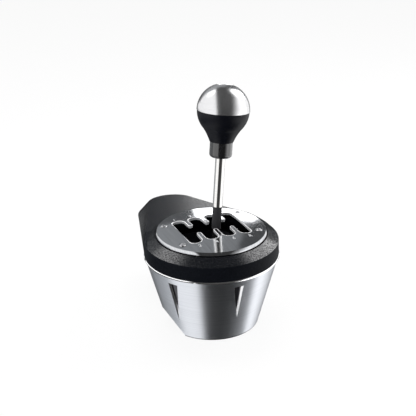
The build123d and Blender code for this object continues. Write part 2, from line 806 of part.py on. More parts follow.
with BuildPart() as gate_screws:
    seat = screw_face - gate_counterbore_depth
    with BuildSketch(Plane.XY.offset(seat)):
        with GridLocations(gate_screw_spacing_x, gate_screw_spacing_y, 2, 2):
            Circle(screw_head_radius)
    extrude(amount=screw_head_height)
    chamfer(gate_screws.edges().group_by(Axis.Z)[-1], length=screw_head_height / 4)
    with BuildSketch(Plane.XY.offset(seat)):
        with GridLocations(gate_screw_spacing_x, gate_screw_spacing_y, 2, 2):
            Circle(screw_radius)
    extrude(amount=-gate_screw_length)
    with BuildSketch(Plane.XY.offset(seat + screw_head_height)):
        with GridLocations(gate_screw_spacing_x, gate_screw_spacing_y, 2, 2):
            RegularPolygon(socket_width / 2, 6)
    extrude(amount=-socket_depth, mode=Mode.SUBTRACT)
gate_screws.part.label = "gate_screws"
export_step(gate_screws.part, "parts/gate_screws.step")

# Space inside the tail: the tail's own form, drawn in by one wall
tail_high = shroud_height + tail_loft_height
tail_end = tail_nose_distance + tail_nose_low_radius + overrun
with BuildPart() as tail_space:
    with BuildSketch(Plane.XY.offset(shroud_height)):
        Circle(ring_band_radius - ring_wall)
        with Locations((0, tail_nose_distance)):
            Circle(tail_nose_low_radius - ring_wall)
        make_hull()
    with BuildSketch(Plane.XY.offset(tail_high)):
        Circle(tail_high_radius - ring_wall)
        with Locations((0, tail_nose_distance)):
            Circle(tail_nose_high_radius - ring_wall)
        make_hull()
    loft(ruled=True)
    with BuildSketch(Plane.YZ):
        with BuildLine():
            Polyline(
                (-ring_band_radius, ring_bevel_outer_height - ring_wall),
                (0, ring_bevel_outer_height - ring_wall),
                (tail_crest_distance, tail_crest_height - ring_wall),
                (tail_end, tail_top(tail_end) - ring_wall),
                (tail_end, tail_high + overrun),
                (-ring_band_radius, tail_high + overrun),
                close=True,
            )
        make_face()
    extrude(amount=ring_band_radius + overrun, both=True, mode=Mode.SUBTRACT)

# Top ring with its tail
with BuildPart() as top_ring:
    # Tail: a tapering tongue, wider at its foot, cut by two gentle slopes on top
    with BuildSketch(Plane.XY.offset(shroud_height)):
        Circle(ring_band_radius)
        with Locations((0, tail_nose_distance)):
            Circle(tail_nose_low_radius)
        make_hull()
    with BuildSketch(Plane.XY.offset(tail_high)):
        Circle(tail_high_radius)
        with Locations((0, tail_nose_distance)):
            Circle(tail_nose_high_radius)
        make_hull()
    loft(ruled=True)
    with BuildSketch(Plane.YZ):
        with BuildLine():
            Polyline(
                (0, ring_bevel_outer_height),
                (tail_crest_distance, tail_crest_height),
                (tail_end, tail_top(tail_end)),
                (tail_end, tail_high + overrun),
                (0, tail_high + overrun),
                close=True,
            )
        make_face()
    extrude(amount=ring_band_radius + overrun, both=True, mode=Mode.SUBTRACT)
    add(tail_space.part, mode=Mode.SUBTRACT)
    # The front half of the loft gives way to the ring itself
    with BuildSketch(Plane.XY.offset(shroud_height)):
        with Locations((0, -ring_band_radius)):
            Rectangle(2 * ring_band_radius + overrun, 2 * ring_band_radius)
    extrude(amount=tail_loft_height + overrun, mode=Mode.SUBTRACT)
    # Ring: bevel, band and the ledge that the gate plate lies on
    with BuildSketch(Plane.XZ):
        with BuildLine():
            bevel_share = (ring_bevel_inner_height - ring_bevel_outer_height) / (
                ring_bevel_outer_radius - ring_inner_radius
            )
            ledge_low = plate_foot_height - ring_wall
            band_inside = ring_band_radius - ring_wall
            roof_outer = ring_bevel_outer_height + (ring_bevel_outer_radius - band_inside) * bevel_share - ring_wall
            Polyline(
                (ring_inner_radius, ring_bevel_inner_height),
                (ring_bevel_outer_radius, ring_bevel_outer_height),
                (ring_band_radius, shroud_height),
                (band_inside, shroud_height),
                (band_inside, roof_outer),
                (ring_inner_radius, ledge_low),
                (ring_ledge_inner_radius, ledge_low),
                (ring_ledge_inner_radius, plate_foot_height),
                (ring_inner_radius, plate_foot_height),
                close=True,
            )
        make_face()
    revolve(axis=Axis.Z)
    # Bosses for the gate screws, the shroud's screws and the upper jaw's screws
    with BuildSketch(Plane.XY.offset(ledge_low)):
        with GridLocations(gate_screw_spacing_x, gate_screw_spacing_y, 2, 2):
            Circle(gate_boss_radius)
    extrude(amount=-gate_boss_height)
    with BuildSketch(Plane.XY.offset(shroud_height)):
        with PolarLocations(ring_boss_reach, 4, start_angle=45):
            Circle(ring_boss_radius)
    extrude(amount=ring_bevel_outer_height - shroud_height)
    for place in (jaw_screw_near, jaw_screw_far):
        with BuildSketch(Plane.XY.offset(shroud_height)):
            with Locations(place, (-place[0], place[1])):
                Circle(jaw_screw_boss_radius)
        extrude(amount=tail_top(place[1]) - ring_wall / 2 - shroud_height)
    # Pocket for the gate plate and the clear throat below it
    with BuildSketch(Plane.XY.offset(plate_foot_height)):
        Circle(ring_inner_radius)
    extrude(amount=overrun, mode=Mode.SUBTRACT)
    with BuildSketch(Plane.XY.offset(shroud_height - overrun)):
        Circle(ring_ledge_inner_radius)
    extrude(amount=3 * overrun, mode=Mode.SUBTRACT)
    with BuildSketch(Plane.XY.offset(plate_foot_height)):
        with GridLocations(gate_screw_spacing_x, gate_screw_spacing_y, 2, 2):
            Circle(screw_radius + running_gap)
    extrude(amount=-gate_boss_height, mode=Mode.SUBTRACT)
    with BuildSketch(Plane.XY.offset(shroud_height)):
        with PolarLocations(ring_boss_reach, 4, start_angle=45):
            Circle(screw_radius + running_gap)
        with Locations(
            jaw_screw_near,
            (-jaw_screw_near[0], jaw_screw_near[1]),
            jaw_screw_far,
            (-jaw_screw_far[0], jaw_screw_far[1]),
        ):
            Circle(screw_radius + running_gap)
    extrude(amount=screw_length, mode=Mode.SUBTRACT)
top_ring.part.label = "top_ring"
export_step(top_ring.part, "parts/top_ring.step")

# Screws that pull the ring onto the shroud's flange, driven from inside
with BuildPart() as ring_screws:
    flange_face = shroud_height - shroud_flange_thickness
    with BuildSketch(Plane.XY.offset(flange_face)):
        with PolarLocations(ring_boss_reach, 4, start_angle=45):
            Circle(screw_head_radius)
    extrude(amount=-screw_head_height)
    with BuildSketch(Plane.XY.offset(flange_face)):
        with PolarLocations(ring_boss_reach, 4, start_angle=45):
            Circle(screw_radius)
    extrude(amount=screw_length)
ring_screws.part.label = "ring_screws"
export_step(ring_screws.part, "parts/ring_screws.step")

# Upper jaw: the plate that closes the tail and lies on the desk
jaw_face = shroud_height - upper_jaw_thickness
with BuildPart() as upper_jaw:
    with BuildSketch(Plane.XY.offset(jaw_face)):
        Circle(ring_band_radius - upper_jaw_inset)
        with Locations((0, tail_nose_distance)):
            Circle(tail_nose_low_radius - upper_jaw_inset)
        make_hull()
        Circle(shroud_top_radius + shroud_lip_bulge + seat_gap, mode=Mode.SUBTRACT)
    extrude(amount=upper_jaw_thickness)
    with BuildSketch(Plane.XY.offset(jaw_face)):
        with Locations((0, clamp_distance)):
            with GridLocations(guide_rod_spacing, 0, 2, 1):
                Circle(guide_rod_radius + running_gap)
            Circle(clamp_journal_radius + running_gap)
    extrude(amount=rod_seat_depth, mode=Mode.SUBTRACT)
    with BuildSketch(Plane.XY.offset(jaw_face)) as jaw_screw_places:
        with Locations(
            jaw_screw_near,
            (-jaw_screw_near[0], jaw_screw_near[1]),
            jaw_screw_far,
            (-jaw_screw_far[0], jaw_screw_far[1]),
        ):
            Circle(screw_radius + running_gap)
    extrude(amount=upper_jaw_thickness, mode=Mode.SUBTRACT)
    with BuildSketch(Plane.XY.offset(jaw_face)):
        with Locations(
            jaw_screw_near,
            (-jaw_screw_near[0], jaw_screw_near[1]),
            jaw_screw_far,
            (-jaw_screw_far[0], jaw_screw_far[1]),
        ):
            Circle(screw_head_radius + running_gap)
    extrude(amount=screw_head_height, mode=Mode.SUBTRACT)
upper_jaw.part.label = "upper_jaw"
export_step(upper_jaw.part, "parts/upper_jaw.step")

with BuildPart() as jaw_screws:
    with BuildSketch(Plane.XY.offset(jaw_face)):
        with Locations(
            jaw_screw_near,
            (-jaw_screw_near[0], jaw_screw_near[1]),
            jaw_screw_far,
            (-jaw_screw_far[0], jaw_screw_far[1]),
        ):
            Circle(screw_head_radius)
    extrude(amount=screw_head_height)
    with BuildSketch(Plane.XY.offset(jaw_face)):
        with Locations(
            jaw_screw_near,
            (-jaw_screw_near[0], jaw_screw_near[1]),
            jaw_screw_far,
            (-jaw_screw_far[0], jaw_screw_far[1]),
        ):
            Circle(screw_radius)
    extrude(amount=screw_length)
jaw_screws.part.label = "jaw_screws"
export_step(jaw_screws.part, "parts/jaw_screws.step")

with BuildPart() as upper_jaw_pad:
    with BuildSketch(Plane.XY.offset(jaw_face)):
        Circle(ring_band_radius - upper_pad_inset)
        with Locations((0, tail_nose_distance)):
            Circle(tail_nose_low_radius - upper_pad_inset)
        make_hull()
        with Locations((0, lower_pad_start)):
            Rectangle(
                2 * ring_band_radius,
                2 * (lower_pad_start + ring_band_radius),
                align=(Align.CENTER, Align.MAX),
                mode=Mode.SUBTRACT,
            )
    extrude(amount=-jaw_pad_thickness)
upper_jaw_pad.part.label = "upper_jaw_pad"
export_step(upper_jaw_pad.part, "parts/upper_jaw_pad.step")

# Fixed arm, bolted on the chassis, that carries the foot of the clamp
with BuildPart() as clamp_arm:
    with BuildSketch(Plane.XY.offset(arm_seat_height)):
        with Locations((0, (arm_start + clamp_distance) / 2)):
            Rectangle(2 * arm_half_width, clamp_distance - arm_start)
        with Locations((0, clamp_distance)):
            RectangleRounded(2 * arm_nose_half_width, arm_nose_length, arm_nose_round)
            with GridLocations(guide_rod_spacing, 0, 2, 1):
                Circle(guide_rod_radius + running_gap, mode=Mode.SUBTRACT)
            Circle(clamp_screw_radius + running_gap, mode=Mode.SUBTRACT)
        with Locations((0, arm_screw_distance)):
            with GridLocations(arm_screw_spacing, 0, 2, 1):
                Circle(screw_radius + running_gap, mode=Mode.SUBTRACT)
    extrude(amount=arm_thickness)
clamp_arm.part.label = "clamp_arm"
export_step(clamp_arm.part, "parts/clamp_arm.step")

with BuildPart() as arm_screws:
    with BuildSketch(Plane.XY.offset(arm_seat_height + arm_thickness)):
        with Locations((0, arm_screw_distance)):
            with GridLocations(arm_screw_spacing, 0, 2, 1):
                Circle(screw_head_radius)
    extrude(amount=screw_head_height)
    with BuildSketch(Plane.XY.offset(arm_seat_height + arm_thickness)):
        with Locations((0, arm_screw_distance)):
            with GridLocations(arm_screw_spacing, 0, 2, 1):
                Circle(screw_radius)
    extrude(amount=-arm_thickness - (arm_seat_height - chassis_top) / 2)
arm_screws.part.label = "arm_screws"
export_step(arm_screws.part, "parts/arm_screws.step")

with BuildPart() as guide_rods:
    with BuildSketch(Plane.XY.offset(arm_seat_height)):
        with Locations((0, clamp_distance)):
            with GridLocations(guide_rod_spacing, 0, 2, 1):
                Circle(guide_rod_radius)
    extrude(amount=jaw_face + rod_seat_depth - arm_seat_height)
guide_rods.part.label = "guide_rods"
export_step(guide_rods.part, "parts/guide_rods.step")

# Captive clamp screw, turned by the scalloped wheel under the arm
arm_top = arm_seat_height + arm_thickness
wheel_top = wheel_floor_gap + wheel_height
with BuildPart() as clamp_screw:
    with BuildSketch(Plane.XY.offset(wheel_floor_gap)):
        with Locations((0, clamp_distance)):
            Circle(clamp_screw_radius)
    extrude(amount=jaw_face - seat_gap - wheel_floor_gap)
    with BuildSketch(Plane.XY.offset(arm_top + seat_gap)):
        with Locations((0, clamp_distance)):
            Circle(clamp_collar_radius)
    extrude(amount=clamp_collar_height)
    with BuildSketch(Plane.XY.offset(jaw_face - seat_gap)):
        with Locations((0, clamp_distance)):
            Circle(clamp_journal_radius)
    extrude(amount=rod_seat_depth)
clamp_screw.part.label = "clamp_screw"
export_step(clamp_screw.part, "parts/clamp_screw.step")

with BuildPart() as hand_wheel:
    with BuildSketch(Plane.XY.offset(wheel_floor_gap)):
        with Locations((0, clamp_distance)):
            Circle(wheel_radius)
            with PolarLocations(wheel_scallop_reach, wheel_scallop_count):
                Circle(wheel_scallop_radius, mode=Mode.SUBTRACT)
    extrude(amount=wheel_height)
    chamfer(hand_wheel.edges().group_by(Axis.Z)[-1], length=wheel_height / 10)
    chamfer(hand_wheel.edges().group_by(Axis.Z)[0], length=wheel_height / 10)
    with BuildSketch(Plane.XY.offset(wheel_top)):
        with Locations((0, clamp_distance)):
            Circle(clamp_collar_radius)
    extrude(amount=arm_seat_height - wheel_top - seat_gap)
    with BuildSketch(Plane.XY.offset(wheel_floor_gap)):
        with Locations((0, clamp_distance)):
            Circle(clamp_screw_radius + running_gap)
    extrude(amount=arm_seat_height, mode=Mode.SUBTRACT)
hand_wheel.part.label = "hand_wheel"
export_step(hand_wheel.part, "parts/hand_wheel.step")

# Lower jaw: slides on the rods and is driven by the screw
with BuildPart() as lower_jaw:
    with BuildSketch(Plane.XY.offset(jaw_rest_height)):
        with Locations((0, clamp_distance)):
            Rectangle(2 * jaw_block_half_width, jaw_block_length)
        with Locations((0, jaw_nose_distance)):
            Circle(jaw_nose_radius)
        make_hull()
    extrude(amount=jaw_tongue_height)
    with BuildSketch(Plane.XY.offset(jaw_rest_height)):
        with Locations((0, clamp_distance)):
            Rectangle(2 * jaw_block_half_width, jaw_block_length)
    extrude(amount=jaw_block_height)
    chamfer(
        lower_jaw.edges().filter_by(Axis.Y).group_by(Axis.Z)[-1], length=jaw_block_height / 5
    )
    with BuildSketch(Plane.XY.offset(jaw_rest_height)):
        with Locations((0, clamp_distance)):
            with GridLocations(guide_rod_spacing, 0, 2, 1):
                Circle(guide_rod_radius + running_gap)
            Circle(clamp_screw_radius + running_gap)
    extrude(amount=jaw_block_height, mode=Mode.SUBTRACT)
lower_jaw.part.label = "lower_jaw"
export_step(lower_jaw.part, "parts/lower_jaw.step")

with BuildPart() as lower_jaw_pad:
    with BuildSketch(Plane.XY.offset(jaw_rest_height + jaw_tongue_height)):
        with Locations((0, jaw_nose_distance)):
            Circle(jaw_nose_radius - lower_pad_inset)
        with Locations((0, lower_pad_start)):
            Rectangle(
                2 * (jaw_nose_radius - lower_pad_inset),
                jaw_nose_distance - lower_pad_start,
                align=(Align.CENTER, Align.MIN),
            )
    extrude(amount=jaw_pad_thickness)
lower_jaw_pad.part.label = "lower_jaw_pad"
export_step(lower_jaw_pad.part, "parts/lower_jaw_pad.step")

# Connector bay: a moulded pocket flush with the tapered wall
bay_middle = bay_low + bay_height / 2
with BuildPart() as connector_bay:
    with BuildSketch(Plane.XZ.offset(-bay_floor_distance + bay_floor_thickness)):
        with Locations((0, bay_middle)):
            Rectangle(2 * (bay_half_width - seat_gap), bay_height - 2 * seat_gap)
    extrude(amount=-shroud_top_radius)
    with BuildSketch(Plane.XZ.offset(-bay_floor_distance)):
        with Locations((0, bay_middle)):
            Rectangle(
                2 * (bay_half_width - seat_gap - bay_wall), bay_height - 2 * seat_gap - 2 * bay_wall
            )
    extrude(amount=-shroud_top_radius, mode=Mode.SUBTRACT)
    with BuildSketch(Plane.XZ.offset(-bay_floor_distance + bay_floor_thickness)):
        with Locations((0, bay_middle)):
            SlotOverall(2 * (socket_half_width + seat_gap), socket_height + 2 * seat_gap)
    extrude(amount=-bay_floor_thickness, mode=Mode.SUBTRACT)
    with BuildSketch(Plane.XZ.offset(-bay_floor_distance + bay_floor_thickness)):
        with Locations((0, bay_middle)):
            with GridLocations(port_boss_spacing, 0, 2, 1):
                Circle(port_boss_radius)
    extrude(amount=port_boss_length)
    with BuildSketch(Plane.XZ):
        with BuildLine():
            Polyline(
                (0, 0),
                (shroud_floor_radius, 0),
                (shroud_radius(shroud_height), shroud_height),
                (0, shroud_height),
                close=True,
            )
        make_face()
    revolve(axis=Axis.Z, mode=Mode.INTERSECT)
connector_bay.part.label = "connector_bay"
export_step(connector_bay.part, "parts/connector_bay.step")

board_face = bay_floor_distance - bay_floor_thickness - port_boss_length
with BuildPart() as port_board:
    with BuildSketch(Plane.XZ.offset(-board_face)):
        with Locations((0, bay_middle)):
            Rectangle(2 * port_board_half_width, port_board_height)
    extrude(amount=board_thickness)
port_board.part.label = "port_board"
export_step(port_board.part, "parts/port_board.step")

with BuildPart() as data_socket:
    with BuildSketch(Plane.XZ.offset(-board_face)):
        with Locations((0, bay_middle)):
            SlotOverall(2 * socket_half_width, socket_height)
    extrude(amount=-(bay_floor_distance - board_face))
    with BuildSketch(Plane.XZ.offset(-bay_floor_distance)):
        with Locations((0, bay_middle)):
            SlotOverall(2 * (socket_half_width - socket_shell), socket_height - 2 * socket_shell)
    extrude(amount=socket_mouth_depth, mode=Mode.SUBTRACT)
data_socket.part.label = "data_socket"
export_step(data_socket.part, "parts/data_socket.step")
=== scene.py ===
import math

import bpy
from mathutils import Matrix, Vector


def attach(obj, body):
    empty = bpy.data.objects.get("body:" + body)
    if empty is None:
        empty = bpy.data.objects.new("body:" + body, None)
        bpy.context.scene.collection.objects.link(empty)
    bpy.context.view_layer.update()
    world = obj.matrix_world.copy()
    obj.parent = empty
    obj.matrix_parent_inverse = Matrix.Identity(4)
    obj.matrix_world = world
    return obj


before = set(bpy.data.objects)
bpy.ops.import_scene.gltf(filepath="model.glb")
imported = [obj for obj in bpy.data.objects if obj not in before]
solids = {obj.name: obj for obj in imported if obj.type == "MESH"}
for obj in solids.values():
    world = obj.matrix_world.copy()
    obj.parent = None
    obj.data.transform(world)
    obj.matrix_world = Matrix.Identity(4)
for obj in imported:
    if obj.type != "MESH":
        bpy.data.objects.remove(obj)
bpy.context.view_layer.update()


# Camera
# The viewer stands to the left of the driver's side and looks down at the gate,
# rolled by under a degree, with the shifter in the middle of a square picture.
camera_turn, camera_rise, camera_roll = map(math.radians, (-23.777, 24.254, -0.801))
camera_pan, camera_dip = map(math.radians, (-0.225, -1.405))
camera_place = Vector((-0.33083, -0.75091, 0.47971))
focal_length, sensor_width = 71.05, 36.0
nearest, furthest = 0.01, 20.0
back = Vector((
    math.sin(camera_turn) * math.cos(camera_rise),
    -math.cos(camera_turn) * math.cos(camera_rise),
    math.sin(camera_rise),
))
right = Vector((math.cos(camera_turn), math.sin(camera_turn), 0))
up = back.cross(right)
level = Matrix((
    right * math.cos(camera_roll) + up * math.sin(camera_roll),
    -right * math.sin(camera_roll) + up * math.cos(camera_roll),
    back,
))
look = Matrix.Rotation(camera_dip, 3, "X") @ Matrix.Rotation(camera_pan, 3, "Y") @ level
lens = bpy.data.cameras.new("picture_camera")
lens.lens, lens.sensor_width = focal_length, sensor_width
lens.clip_start, lens.clip_end = nearest, furthest
camera = bpy.data.objects.new("picture_camera", lens)
camera.matrix_world = Matrix.Translation(camera_place) @ look.transposed().to_4x4()
bpy.context.scene.collection.objects.link(camera)
bpy.context.scene.camera = camera


# Shroud
# The body is a spun sheet-metal bucket with a rolled polished lip, whose whiter colour is
# a painted highlight. It is brushed in fine level lines, and two tapering recesses are
# pressed into its front.
body_top_radius, body_foot_radius, body_height = 0.0742, 0.0524, 0.082
lip_start, lip_full = 0.0792, 0.0796
foot_shade_start, foot_shade_end = 0.0004, 0.0016
wall_highlight_start, wall_highlight_full = 0.0001, 0.0003
pit_shade_start, pit_shade_full = 0.0019, 0.0023
# painted highlight: a whiter steel for the lip and the walls of the recesses
painted_highlight_steel = (0.96, 0.96, 0.97)
# painted shade along the edge at the foot
painted_foot_shade = (0.10, 0.10, 0.11)
# painted shade in the floors of the recesses
painted_pit_shade = (0.09, 0.09, 0.10)
lip_roughness = 0.12


def feed(tree, socket, value):
    """A value on a socket: another node's output, or a plain one. Colours need no alpha."""
    if isinstance(value, bpy.types.NodeSocket):
        tree.links.new(value, socket)
    elif socket.type == "RGBA":
        socket.default_value = (*value, 1)
    else:
        socket.default_value = value


def add(tree, kind, **sockets):
    """One shader node, with its inputs fed by name."""
    node = tree.nodes.new(kind)
    for label, value in sockets.items():
        feed(tree, node.inputs[label.replace("_", " ")], value)
    return node


def arithmetic(tree, operation, *numbers):
    """One step of arithmetic."""
    step = tree.nodes.new("ShaderNodeMath")
    step.operation = operation
    for socket, number in zip(step.inputs, numbers):
        feed(tree, socket, number)
    return step.outputs["Value"]


def stretched(tree, point, by):
    """A point whose three parts are each multiplied."""
    step = tree.nodes.new("ShaderNodeVectorMath")
    step.operation = "MULTIPLY"
    feed(tree, step.inputs[0], point)
    feed(tree, step.inputs[1], by)
    return step.outputs["Vector"]


def ramp(tree, value, start, finish, low=0.0, high=1.0):
    """A number that goes from low to high as a value goes from start to finish."""
    climb = add(
        tree, "ShaderNodeMapRange",
        Value=value, From_Min=start, From_Max=finish, To_Min=low, To_Max=high,
    )
    return climb.outputs["Result"]


def surface_point(tree, what="Object"):
    """Where a point of the piece lies, or with Normal how it faces."""
    return add(tree, "ShaderNodeTexCoord").outputs[what]


def effect(name, inputs, outputs):
    """A named shader effect, with what it takes in and what it gives out."""
    group = bpy.data.node_groups.new(name, "ShaderNodeTree")
    for label, kind, value in inputs:
        socket = group.interface.new_socket(label, in_out="INPUT", socket_type=kind)
        socket.default_value = value
    for label in outputs:
        group.interface.new_socket(label, in_out="OUTPUT", socket_type="NodeSocketFloat")
    return group, group.nodes.new("NodeGroupInput"), group.nodes.new("NodeGroupOutput")


# Long fine lines, as a belt or a lathe leaves them: Along stretches the pattern
brushed_depth = 0.00001
brushing, given, wanted = effect(
    "brushed lines",
    [("Along", "NodeSocketVector", (10, 10, 900)), ("Contrast", "NodeSocketFloat", 0.5)],
    ["Height", "Tone"],
)
drawn_out = stretched(brushing, surface_point(brushing), given.outputs["Along"])
lines = add(brushing, "ShaderNodeTexNoise", Vector=drawn_out, Scale=1.0, Detail=4.0, Roughness=0.7)
tone = ramp(brushing, lines.outputs["Fac"], 0.3, 0.7, high=given.outputs["Contrast"])
feed(brushing, wanted.inputs["Height"], lines.outputs["Fac"])
feed(brushing, wanted.inputs["Tone"], tone)

# Where hands have been: soft patches, larger than the grain
handling, given, wanted = effect(
    "handled patches",
    [
        ("Size", "NodeSocketFloat", 30.0),
        ("Low", "NodeSocketFloat", 0.2),
        ("High", "NodeSocketFloat", 0.35),
    ],
    ["Roughness", "Mask"],
)
patches = add(
    handling, "ShaderNodeTexNoise",
    Vector=surface_point(handling), Scale=given.outputs["Size"], Detail=4.0, Roughness=0.5,
)
mask = ramp(handling, patches.outputs["Fac"], 0.35, 0.65)
roughness = ramp(handling, mask, 0.0, 1.0, given.outputs["Low"], given.outputs["High"])
feed(handling, wanted.inputs["Roughness"], roughness)
feed(handling, wanted.inputs["Mask"], mask)


def place(tree, group, **sockets):
    """One of the effects above, set in a material with its own values."""
    node = tree.nodes.new("ShaderNodeGroup")
    node.node_tree = group
    for label, value in sockets.items():
        feed(tree, node.inputs[label.replace("_", " ")], value)
    return node


def blank(name, **sockets):
    """A new material: itself, its node tree and its Principled shader."""
    material = bpy.data.materials.new(name)
    material.use_nodes = True
    shader = material.node_tree.nodes["Principled BSDF"]
    for label, value in sockets.items():
        feed(material.node_tree, shader.inputs[label.replace("_", " ")], value)
    return material, material.node_tree, shader


# the numbers of the mix node's two inputs and its output, for colours and for numbers
mix_sockets = {"RGBA": (6, 7, 2), "FLOAT": (2, 3, 0)}


def mixed(tree, mask, dark, light, kind="RGBA"):
    """Two colours, or with FLOAT two numbers, mixed by a mask."""
    node = tree.nodes.new("ShaderNodeMix")
    node.data_type = kind
    dark_socket, light_socket, result = mix_sockets[kind]
    feed(tree, node.inputs[0], mask)
    feed(tree, node.inputs[dark_socket], dark)
    feed(tree, node.inputs[light_socket], light)
    return node.outputs[result]


def relief(tree, shader, height, depth, strength=1.0):
    """Fine relief from a height, with its depth in metres."""
    bump = add(tree, "ShaderNodeBump", Height=height, Strength=strength, Distance=depth)
    feed(tree, shader.inputs["Normal"], bump.outputs["Normal"])


def dress(material, *names):
    """The material on solids of the frame."""
    for name in names:
        solids[name].data.materials.clear()
        solids[name].data.materials.append(material)


def upright_part(tree, what):
    """The upright part of where a point lies, or with Normal of how it faces."""
    return add(tree, "ShaderNodeSeparateXYZ", Vector=surface_point(tree, what)).outputs["Z"]


def from_axis(tree):
    """How far a point lies from the upright axis."""
    reach = add(tree, "ShaderNodeVectorMath")
    reach.operation = "LENGTH"
    feed(tree, reach.inputs[0], stretched(tree, surface_point(tree), (1, 1, 0)))
    return reach.outputs["Value"]


brushed_body, tree, shader = blank(
    "brushed body metal", Metallic=1.0, Anisotropic=0.6, Anisotropic_Rotation=0.25
)
lines = place(tree, brushing, Along=(6, 6, 1500), Contrast=1.0)
hands = place(tree, handling, Size=9.0, Low=0.28, High=0.33)
relief(tree, shader, lines.outputs["Height"], brushed_depth, 0.25)

# the rolled lip is polished, and its whiter colour is a painted highlight; a painted
# shade darkens the edge at the foot
height = upright_part(tree, "Object")
lip = ramp(tree, height, lip_start, lip_full)
colour = mixed(tree, lines.outputs["Tone"], (0.60, 0.62, 0.66), (0.72, 0.74, 0.78))
colour = mixed(tree, lip, colour, painted_highlight_steel)
colour = mixed(tree, ramp(tree, height, foot_shade_start, foot_shade_end), painted_foot_shade, colour)
polish = mixed(tree, lip, hands.outputs["Roughness"], lip_roughness, "FLOAT")
feed(tree, shader.inputs["Roughness"], polish)

# pressed recesses: a painted highlight whitens their walls and a painted shade darkens their
# floors, told apart by how deep a point lies under the cone of the body
slope = (body_top_radius - body_foot_radius) / body_height
cone = arithmetic(tree, "MULTIPLY_ADD", height, slope, body_foot_radius)
under = arithmetic(tree, "SUBTRACT", cone, from_axis(tree))
colour = mixed(tree, ramp(tree, under, wall_highlight_start, wall_highlight_full), colour, painted_highlight_steel)
colour = mixed(tree, ramp(tree, under, pit_shade_start, pit_shade_full), colour, painted_pit_shade)
feed(tree, shader.inputs["Base Color"], colour)
around = add(tree, "ShaderNodeTangent")
around.direction_type, around.axis = "RADIAL", "Z"
feed(tree, shader.inputs["Tangent"], around.outputs["Tangent"])
dress(brushed_body, "shroud")


# Bottom cover and its screws
# A black moulded floor with two leaning wings closes the body. Eight black socket
# screws hold it to the body's lugs and to the chassis.

# A spark-eroded mould leaves this fine leathery stipple on plastic
moulding, given, wanted = effect(
    "moulded stipple",
    [
        ("Size", "NodeSocketFloat", 900.0),
        ("Low", "NodeSocketFloat", 0.45),
        ("High", "NodeSocketFloat", 0.6),
    ],
    ["Height", "Tone", "Roughness"],
)
where = surface_point(moulding)
stipple = add(
    moulding, "ShaderNodeTexNoise",
    Vector=where, Scale=given.outputs["Size"], Detail=3.0, Roughness=0.6,
)
coarser = arithmetic(moulding, "MULTIPLY", given.outputs["Size"], 0.6)
cells = add(moulding, "ShaderNodeTexVoronoi", Vector=where, Scale=coarser)
height = arithmetic(moulding, "MULTIPLY", stipple.outputs["Fac"], cells.outputs["Distance"])
shine = ramp(moulding, stipple.outputs["Fac"], 0.0, 1.0, given.outputs["Low"], given.outputs["High"])
feed(moulding, wanted.inputs["Height"], height)
feed(moulding, wanted.inputs["Tone"], stipple.outputs["Fac"])
feed(moulding, wanted.inputs["Roughness"], shine)


def moulded(name, dark, light, size=900.0, rough=(0.45, 0.6), depth=0.00006, gloss=0.2):
    """A moulded plastic in two close tones."""
    material, tree, shader = blank(name, Specular_IOR_Level=gloss)
    skin = place(tree, moulding, Size=size, Low=rough[0], High=rough[1])
    feed(tree, shader.inputs["Base Color"], mixed(tree, skin.outputs["Tone"], dark, light))
    feed(tree, shader.inputs["Roughness"], skin.outputs["Roughness"])
    relief(tree, shader, skin.outputs["Height"], depth)
    return material


def plain_metal(name, dark, light, rough, along):
    """Turned or plated metal with fine lines and handled patches."""
    material, tree, shader = blank(name, Metallic=1.0)
    lines = place(tree, brushing, Along=along, Contrast=1.0)
    hands = place(tree, handling, Size=60.0, Low=rough[0], High=rough[1])
    feed(tree, shader.inputs["Base Color"], mixed(tree, lines.outputs["Tone"], dark, light))
    feed(tree, shader.inputs["Roughness"], hands.outputs["Roughness"])
    relief(tree, shader, lines.outputs["Height"], brushed_depth, 0.3)
    return material


floor_moulding = moulded("black floor moulding", dark=(0.006, 0.006, 0.007), light=(0.014, 0.014, 0.016))
dress(floor_moulding, "bottom_cover")
black_screws = plain_metal(
    "black oxide screws",
    dark=(0.02, 0.02, 0.022), light=(0.06, 0.06, 0.065), rough=(0.3, 0.45), along=(400, 400, 2500),
)
dress(black_screws, "cover_screws", "ring_screws", "jaw_screws", "arm_screws")


# Chassis
# A pressed steel base and two cheeks, powder coated black, as the clamp's arm is.
# Brass bushes in the cheeks take the selector's pins.
powder_coat = moulded(
    "black powder coat",
    dark=(0.006, 0.006, 0.0065), light=(0.014, 0.014, 0.015),
    size=1500.0, rough=(0.5, 0.62), depth=0.00004,
)
dress(powder_coat, "chassis", "clamp_arm")
turned_brass = plain_metal(
    "turned brass",
    dark=(0.55, 0.40, 0.17), light=(0.70, 0.54, 0.27), rough=(0.22, 0.35), along=(300, 2000, 300),
)
dress(turned_brass, "trunnion_bushes")


# Selector
# A zinc-plated frame tips on two ground steel pins. A bolt and its nut carry the
# lever in that frame, and a small magnet on the lever's foot shows where it stands.
zinc_plate = plain_metal(
    "zinc plate",
    dark=(0.42, 0.43, 0.45), light=(0.58, 0.58, 0.60), rough=(0.32, 0.48), along=(300, 300, 300),
)
dress(zinc_plate, "selector_yoke", "pivot_nut")
ground_steel = plain_metal(
    "ground steel",
    dark=(0.50, 0.50, 0.52), light=(0.68, 0.68, 0.70), rough=(0.16, 0.28), along=(2200, 300, 2200),
)
dress(ground_steel, "trunnion_pins", "pivot_pin", "guide_rods", "clamp_screw", "lever_magnet")


# Top ring and tail
# One dark moulding: a bevelled ring round the gate, an upright band that is left
# bare, and the tail that reaches back over the desk edge.
matt_below, sheen_above = 0.2, 0.4
level_start, level_full, level_sheen = 0.92, 0.97, 0.3
speck_from, speck_to, speck_least, speck_most = 0.42, 0.58, 0.3, 1.4
near_black, slate = (0.0004, 0.0005, 0.0009), (0.0085, 0.0102, 0.0150)
stipple_depth = 0.00025
ring_skin, tree, shader = blank(
    "stippled ring moulding", Specular_IOR_Level=0.03, Coat_Roughness=0.2, Coat_IOR=1.62
)
skin = place(tree, moulding, Size=840.0, Low=0.30, High=0.46)

